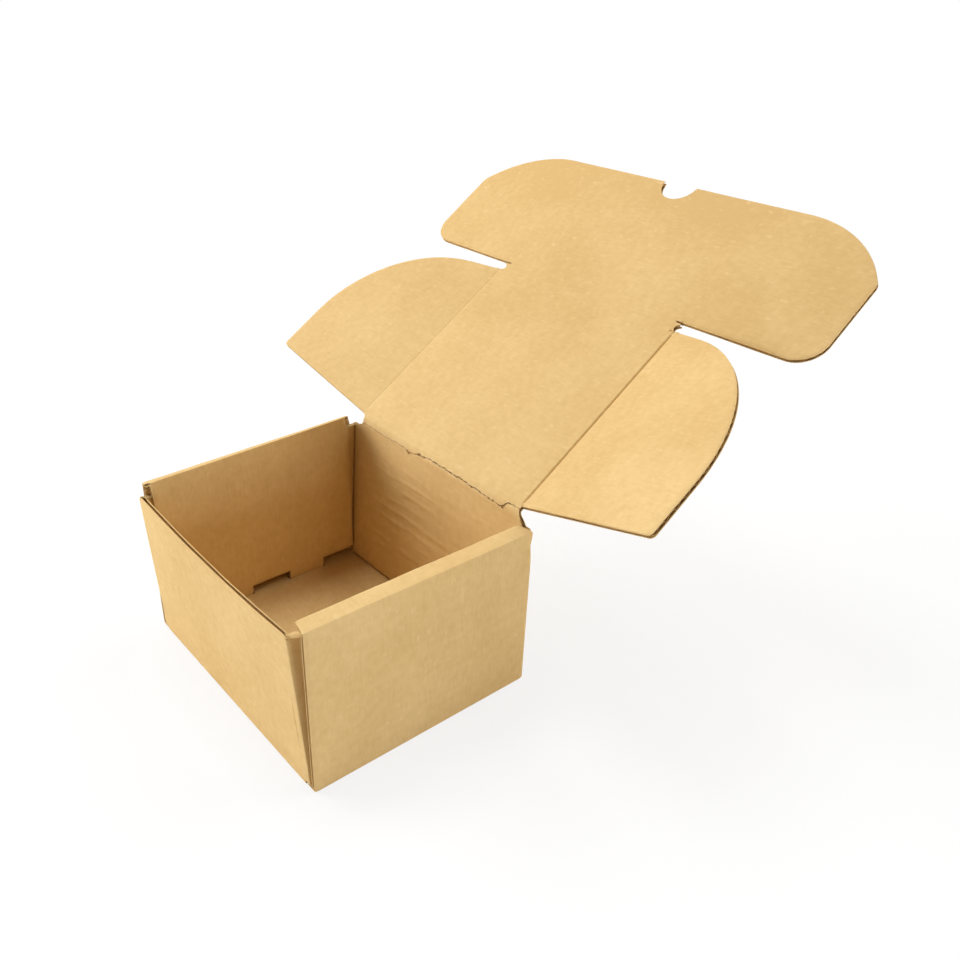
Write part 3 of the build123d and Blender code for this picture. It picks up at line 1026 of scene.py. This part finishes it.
class BOX_OT_dust_flaps(Operator):
    """Cut the two fan-shaped dust flaps beyond their creases"""

    bl_idname = "box.dust_flaps"
    bl_label = "Dust flaps"

    def execute(self, context):
        board, _, lid = settings()
        reach, spot = dust_edge()
        first, edge = sheet_start(), lid.width / 2
        start = np.interp(board.crease, reach[:4], spot[:4])
        stop = np.interp(board.crease, reach[::-1][:20], spot[::-1][:20])
        q = first + columns(start, stop, CLOSE_ROW, spot[(spot > start) & (spot < stop)])

        def far(s):
            return edge + np.interp(s - first, spot, reach)

        def relief(p, q):
            return 0.0001 * smooth((np.abs(p) - edge) / 0.02) * patchy(p, q, 0.015, 31)

        for side, name in ((1, "right_dust_flap"), (-1, "left_dust_flap")):
            origin, across, along, normal, _ = dust_places(side)
            place = panel(origin, across, along, normal, first, side, edge)
            edges = flap_edges(side, edge + board.crease, far)
            cut = (side < 0, side > 0, True, True)
            whole_piece(name + "_board", corrugated(place, q, *edges, spread(30), relief, relief, cut=cut), name)
        return {"FINISHED"}


class BOX_OT_tuck_flap(Operator):
    """Cut the tuck flap with its thumb notch, and its two ears"""

    bl_idname = "box.tuck_flap"
    bl_label = "Tuck flap and ears"

    def execute(self, context):
        board, _, lid = settings()
        _, along, facing = lid_frame()
        ahead, normal = turned(along, facing, rest_bend("tuck_fold"))
        first = sheet_start() + lid.length
        place = panel(joint_place("tuck_fold"), ACROSS, ahead, normal, first)
        fold = lid.width / 2 - lid.ear_inset
        edge, near = fold - board.crease, fold + board.crease
        dips = lid.tuck - lid.thumb * np.cos(np.linspace(0, math.pi / 2, 20))
        q = first + columns(board.crease, lid.tuck, CLOSE_ROW, dips, (False, True))

        def notch(s):
            return np.sqrt(np.clip(lid.thumb**2 - (lid.tuck - (s - first)) ** 2, 0, None))

        def relief(p, q):
            return 0.00009 * smooth((edge - np.abs(p)) / 0.01) * patchy(p, q, 0.016, 41)

        cut = (False, False, False, True)
        right = corrugated(place, q, notch, level(edge), spread(24), relief, relief, cut=cut)
        left = corrugated(place, q, level(-edge), lambda s: -notch(s), spread(24), relief, relief, cut=cut)
        whole_piece("tuck_flap_board", right + left, "tuck_flap")

        reach, depth = ear_edge()
        q = first + columns(lid.ear_foot, lid.tuck, CLOSE_ROW, depth)

        def far(s):
            return fold + np.interp(s - first, depth, reach)

        def ear_relief(p, q):
            return 0.0001 * smooth((np.abs(p) - near) / 0.01) * patchy(p, q, 0.015, 43)

        for side, name in ((1, "right_ear"), (-1, "left_ear")):
            edges, cut = flap_edges(side, near, far), (side < 0, side > 0, True, True)
            shells = corrugated(place, q, *edges, spread(28), ear_relief, ear_relief, cut=cut)
            whole_piece(name + "_board", shells, name)
        return {"FINISHED"}


class BOX_OT_creases(Operator):
    """Join the panels across their creases with strips that bend"""

    bl_idname = "box.creases"
    bl_label = "Creases"

    def execute(self, context):
        self.hinge()
        self.tuck()
        for side in (1, -1):
            self.dust(side)
            self.ear(side)
        return {"FINISHED"}

    def hinge(self):
        """Hinge of the lid: its inner liner is cracked along a ragged line, with a few torn holes."""
        board, tray, lid = settings()
        foot, w, half, edge = tray.hinge_foot, board.crease, board.board / 2, lid.width / 2
        origin, along, _ = lid_frame()
        wall = tray_line()[3][-1]
        below = 0.0012
        line = crease_line(foot, w, rest_bend("lid_hinge") - wall, -below, 0.004)
        upward = np.array((0.0, math.cos(wall), math.sin(wall)))
        inward = np.array((0.0, -upward[2], upward[1]))
        first = sheet_start()
        place = strip_place(line, origin, upward, inward, first)
        top_half = half_widths()[2]

        def half_width(q):
            return np.interp(q - first, (-foot, 0, w), (top_half, edge, edge))

        def left_width(q):
            places = (-foot, -0.0036, -0.002, 0.0004, lid.dust_foot)
            return half_width(q) - np.interp(q - first, places, (0, 0.0033, 0.0037, 0.0022, 0))

        shells = corrugated(
            place,
            first + np.linspace(-foot, w, 31),
            lambda s: -left_width(s),
            half_width,
            spread(60),
            cut=(True, True, False, False),
            squash=lambda p, s: 1 - 0.3 * bell(s - first + below, 0.0014),
        )[1:]
        x = np.linspace(-1, 1, 460)

        def ragged(size, seed):
            return patchy(x, 0 * x, size, seed)

        # Cracked line in millimetres: places along the hinge and its level there, then its torn holes.
        at = (-53, -49.5, -35, -19.5, -16.5, -13, -9.5, -1, 18, 30, 42, 44, 46.5, 53)
        levels = (-1.9, -2.0, -2.3, -2.0, -3.0, -2.2, -1.6, -1.1, -1.2, -1.6, -1.9, -2.0, 0.2, 0.3)
        holes = ((-16.5, 1.3, 0.6), (-9.5, 1.1, 0.35), (44, 1.2, 0.45))
        crack = np.interp(x * edge, np.array(at) / 1000, np.array(levels) / 1000)
        crack = crack + 0.0002 * ragged(0.03, 51) + 0.00014 * ragged(0.009, 52)
        gape = 0.00016 + 0.0001 * ragged(0.02, 53) + 0.00008 * ragged(0.007, 54)
        gape = gape * (0.45 + 0.55 * smooth((x + 0.4) / 0.1))
        for spot, wide, deep in holes:
            gape = gape + deep / 1000 * bell(x * edge - spot / 1000, wide / 1000)
        gape = np.clip(gape, 0.00004, None)
        t = np.concatenate((np.linspace(0, 0.85, 11), np.linspace(0.9, 1, 5)))
        lower, upper = (np.full(x.shape, -foot), crack - gape), (crack + gape, np.full(x.shape, w))
        for (low, high), steps in ((lower, t), (upper, 1 - t[::-1])):
            v = low[:, None] + (high - low)[:, None] * steps
            off = v - crack[:, None]
            lift = 0.00016 * bell(off, 0.0005) * (0.4 + ragged(0.012, 55)[:, None])
            top = half - 0.00012 * bell(off, 0.0011) + lift
            across = x[:, None] * np.where(x[:, None] > 0, half_width(first + v), left_width(first + v))
            rub = 0.5 * bell(off, 0.0006)
            shells.append(shell(place, across, first + v, top, top - board.liner, 1.0, rub))
        bending_piece("lid_hinge_crease", shells)

    def tuck(self):
        """Crease between lid and tuck flap, with the round ends of the two slots."""
        board, _, lid = settings()
        w, slot, edge = board.crease, lid.slot, lid.width / 2
        _, along, facing = lid_frame()
        origin, bend = joint_place("tuck_fold"), rest_bend("tuck_fold")
        first = sheet_start() + lid.length
        place = strip_place(crease_line(w, w, bend, 0.0, 2 * w), origin, along, facing, first)

        def half_width(q):
            v = q - first
            bite = edge - np.sqrt(np.clip(slot**2 - v**2, 0, None))
            bite = np.where(v > slot, edge - 0.0003, bite)
            return np.where(v < -slot - STEP / 2, edge - w, bite)

        sweep = slot * np.sin(np.linspace(-math.pi / 2, math.pi / 2, 15))
        q = first + tidy(np.concatenate((np.linspace(-w, w, 21), sweep, (-slot - STEP,))))
        shells = corrugated(
            place,
            q,
            lambda s: -half_width(s),
            half_width,
            spread(50),
            inner=lambda p, s: -0.00007 * bell(s - first, 0.0007),
            cut=(False,) * 4,
            squash=lambda p, s: 1 - 0.06 * bell(s - first, 0.0011),
        )
        bending_piece("tuck_crease", shells)

    def dust(self, side):
        """Crease between lid and dust flap: a pressed groove on the inner face."""
        board, _, lid = settings()
        w, edge, first = board.crease, lid.width / 2, sheet_start()
        origin, across, along, _, bend = dust_places(side)
        facing = lid_frame()[2]
        line = crease_line(w, w, bend, 0.0, 2 * w)
        outward = side * ACROSS
        slope = (lid.dust_tip - lid.dust_foot) / lid.dust_reach
        pressed = lid.groove_right if side > 0 else lid.groove_left

        def place(p, q, n):
            v = side * p - edge
            a, b = on_line(line, v, n)
            rise = np.clip(v, 0, None) * slope * np.clip(1 - (q - first) / 0.02, 0, 1)
            return origin + a[..., None] * outward + b[..., None] * facing + (q - first + rise)[..., None] * along

        def inner(p, q):
            end = smooth((q - first - 0.002) / 0.004) * smooth((first + lid.length - q - 0.0015) / 0.004)
            return -pressed * bell(np.abs(p) - edge, 0.0005) * (0.35 + 0.65 * end)

        q = first + columns(lid.dust_foot, lid.length - lid.slot, ROW)
        ends = flap_edges(side, edge - w, level(edge + w))
        shells = corrugated(place, q, *ends, spread(24), inner, cut=(False, False, True, True))
        name = "right_dust" if side > 0 else "left_dust"
        bending_piece(name + "_crease", shells)

    def ear(self, side):
        """Crease between tuck flap and ear."""
        board, _, lid = settings()
        w, fold = board.crease, lid.width / 2 - lid.ear_inset
        _, along, facing = lid_frame()
        ahead, normal = turned(along, facing, rest_bend("tuck_fold"))
        origin, first = joint_place("tuck_fold"), sheet_start() + lid.length
        place = panel(origin, ACROSS, ahead, normal, first)

        def inner(p, q):
            return -0.00005 * bell(np.abs(p) - fold, 0.0006)

        def far(s):
            return np.where(s - first < lid.ear_foot - STEP / 2, fold, fold + w)

        q = first + columns(w, lid.tuck, ROW, (lid.ear_foot - STEP, lid.ear_foot), (False, True))
        edges = flap_edges(side, fold - w, far)
        shells = corrugated(place, q, *edges, spread(20), inner, cut=(False, False, False, True))
        name = "right_ear" if side > 0 else "left_ear"
        bending_piece(name + "_crease", shells)


class BOX_OT_stage(Operator):
    """Set the floor, the light and the camera"""

    bl_idname = "box.stage"
    bl_label = "Stage"

    def execute(self, context):
        stage = context.scene.box_stage
        self.floor(stage)
        self.lights(context, stage)
        self.camera(context, stage)
        context.scene.view_settings.view_transform = "Standard"
        return {"FINISHED"}

    def floor(self, stage):
        """Wide floor: a flat square grid that shows nearly white, keeps the box's shadow and fades to white."""
        p, q = np.meshgrid(np.linspace(-3, 3, 7), np.linspace(-3, 3, 7))
        mesh = bpy.data.meshes.new("floor")
        mesh.from_pydata(np.stack((p, q, 0 * p), axis=-1).reshape(-1, 3), [], grid_faces(7, 7))
        material = bpy.data.materials.new("floor")
        material.use_nodes = True
        tree = material.node_tree
        nodes, link = tree.nodes, tree.links.new
        shader = nodes["Principled BSDF"]
        shader.inputs["Base Color"].default_value = (*stage.floor, 1)
        shader.inputs["Roughness"].default_value = 0.9
        shader.inputs["Specular IOR Level"].default_value = 0.1
        glow = nodes.new("ShaderNodeEmission")
        glow.inputs["Strength"].default_value = 1.0
        place = nodes.new("ShaderNodeTexCoord")
        distance = nodes.new("ShaderNodeVectorMath")
        distance.operation = "LENGTH"
        link(place.outputs["Object"], distance.inputs[0])
        fade = add_range(tree, distance.outputs["Value"], 0.12, 0.7, stage.white, 1.0)
        blend = nodes.new("ShaderNodeMixShader")
        link(add_math(tree, "MULTIPLY", seen_directly(tree), fade), blend.inputs["Fac"])
        link(shader.outputs["BSDF"], blend.inputs[1])
        link(glow.outputs["Emission"], blend.inputs[2])
        link(blend.outputs["Shader"], nodes["Material Output"].inputs["Surface"])
        mesh.materials.append(material)
        new_object("floor", mesh)

    def lights(self, context, stage):
        """Even white sky, lamps at the front left, above and behind, and low ones at the right and front."""
        world = bpy.data.worlds.new("sky")
        context.scene.world = world
        world.use_nodes = True
        nodes, link = world.node_tree.nodes, world.node_tree.links.new
        sky, white = nodes["Background"], nodes.new("ShaderNodeBackground")
        for node, strength in ((sky, stage.sky), (white, 1.0)):
            node.inputs["Strength"].default_value = strength
            node.inputs["Color"].default_value = (1, 1, 1, 1)
        blend = nodes.new("ShaderNodeMixShader")
        link(seen_directly(world.node_tree), blend.inputs["Fac"])
        link(sky.outputs["Background"], blend.inputs[1])
        link(white.outputs["Background"], blend.inputs[2])
        link(blend.outputs["Shader"], nodes["World Output"].inputs["Surface"])
        middle = np.array((0.0, 0.05, 0.06))
        for name in ("key", "top", "back", "right", "front"):
            power, turn, height, size = getattr(stage, name)
            light = bpy.data.lights.new(name + "_lamp", "AREA")
            light.energy, light.size = power, size
            right, up, back = directions(turn, height)
            spot = middle + stage.lamp_distance * back
            new_object(name + "_lamp", light).matrix_world = placement(right, up, back, spot)

    def camera(self, context, stage):
        """Camera at the photograph's angle, turned and offset as the fit to the box's edges gives it."""
        right, up, back = directions(stage.azimuth, stage.elevation)
        c, s = math.cos(stage.roll), math.sin(stage.roll)
        right, up = c * right + s * up, c * up - s * right
        camera = bpy.data.cameras.new("camera")
        camera.sensor_width, camera.lens, camera.clip_start = 36.0, stage.focal, 0.01
        holder = new_object("camera", camera)
        spot = back * stage.distance + stage.shift_x * right + stage.shift_y * up
        holder.matrix_world = placement(right, up, back, spot)
        context.scene.camera = holder


def seen_directly(tree):
    """1 where the camera sees the surface, by itself or through a glossy or clear one."""
    path = tree.nodes.new("ShaderNodeLightPath").outputs
    clear = add_math(tree, "MAXIMUM", path["Is Camera Ray"], path["Is Glossy Ray"])
    return add_math(tree, "MAXIMUM", clear, path["Is Transmission Ray"])


def directions(turn, height):
    """To the right, upwards and back, as seen from that turn about the box and height above the horizon."""
    flat_share = math.cos(height)
    back = np.array((math.sin(turn) * flat_share, -math.cos(turn) * flat_share, math.sin(height)))
    right = np.cross((0.0, 0.0, 1.0), back)
    right = right / np.linalg.norm(right)
    return right, np.cross(back, right), back


def placement(x, y, z, spot):
    """Matrix of a lamp or camera with those axes at that spot."""
    matrix = np.eye(4)
    matrix[:3, 0], matrix[:3, 1], matrix[:3, 2], matrix[:3, 3] = x, y, z, spot
    return Matrix(matrix.tolist())


STEPS = (
    BOX_OT_base_and_walls,
    BOX_OT_rolled_sides,
    BOX_OT_corner_flaps,
    BOX_OT_lid,
    BOX_OT_dust_flaps,
    BOX_OT_tuck_flap,
    BOX_OT_creases,
    BOX_OT_stage,
)
SETTINGS = (
    ("box_board", BoardSettings),
    ("box_tray", TraySettings),
    ("box_lid", LidSettings),
    ("box_kraft", KraftSettings),
    ("box_stage", StageSettings),
)


class BOX_PT_panel(Panel):
    """Lists the box's building steps"""

    bl_idname = "BOX_PT_panel"
    bl_label = "Folding shipping box"
    bl_space_type = "VIEW_3D"
    bl_region_type = "UI"
    bl_category = "Box"

    def draw(self, context):
        for step in STEPS:
            self.layout.operator(step.bl_idname)
        for name, group in SETTINGS:
            column = self.layout.column()
            for key in group.__annotations__:
                column.prop(getattr(context.scene, name), key)


def register():
    """Make the settings, steps and panel known to Blender."""
    for name, group in SETTINGS:
        bpy.utils.register_class(group)
        setattr(bpy.types.Scene, name, PointerProperty(type=group))
    for step in STEPS + (BOX_PT_panel,):
        bpy.utils.register_class(step)


def unregister():
    """Take them out again, last first."""
    for step in (BOX_PT_panel,) + STEPS[::-1]:
        bpy.utils.unregister_class(step)
    for name, group in SETTINGS[::-1]:
        delattr(bpy.types.Scene, name)
        bpy.utils.unregister_class(group)


def main():
    """Build every piece and the stage."""
    register()
    bpy.ops.box.base_and_walls()
    bpy.ops.box.rolled_sides()
    bpy.ops.box.corner_flaps()
    bpy.ops.box.lid()
    bpy.ops.box.dust_flaps()
    bpy.ops.box.tuck_flap()
    bpy.ops.box.creases()
    bpy.ops.box.stage()


if __name__ == "__main__":
    main()
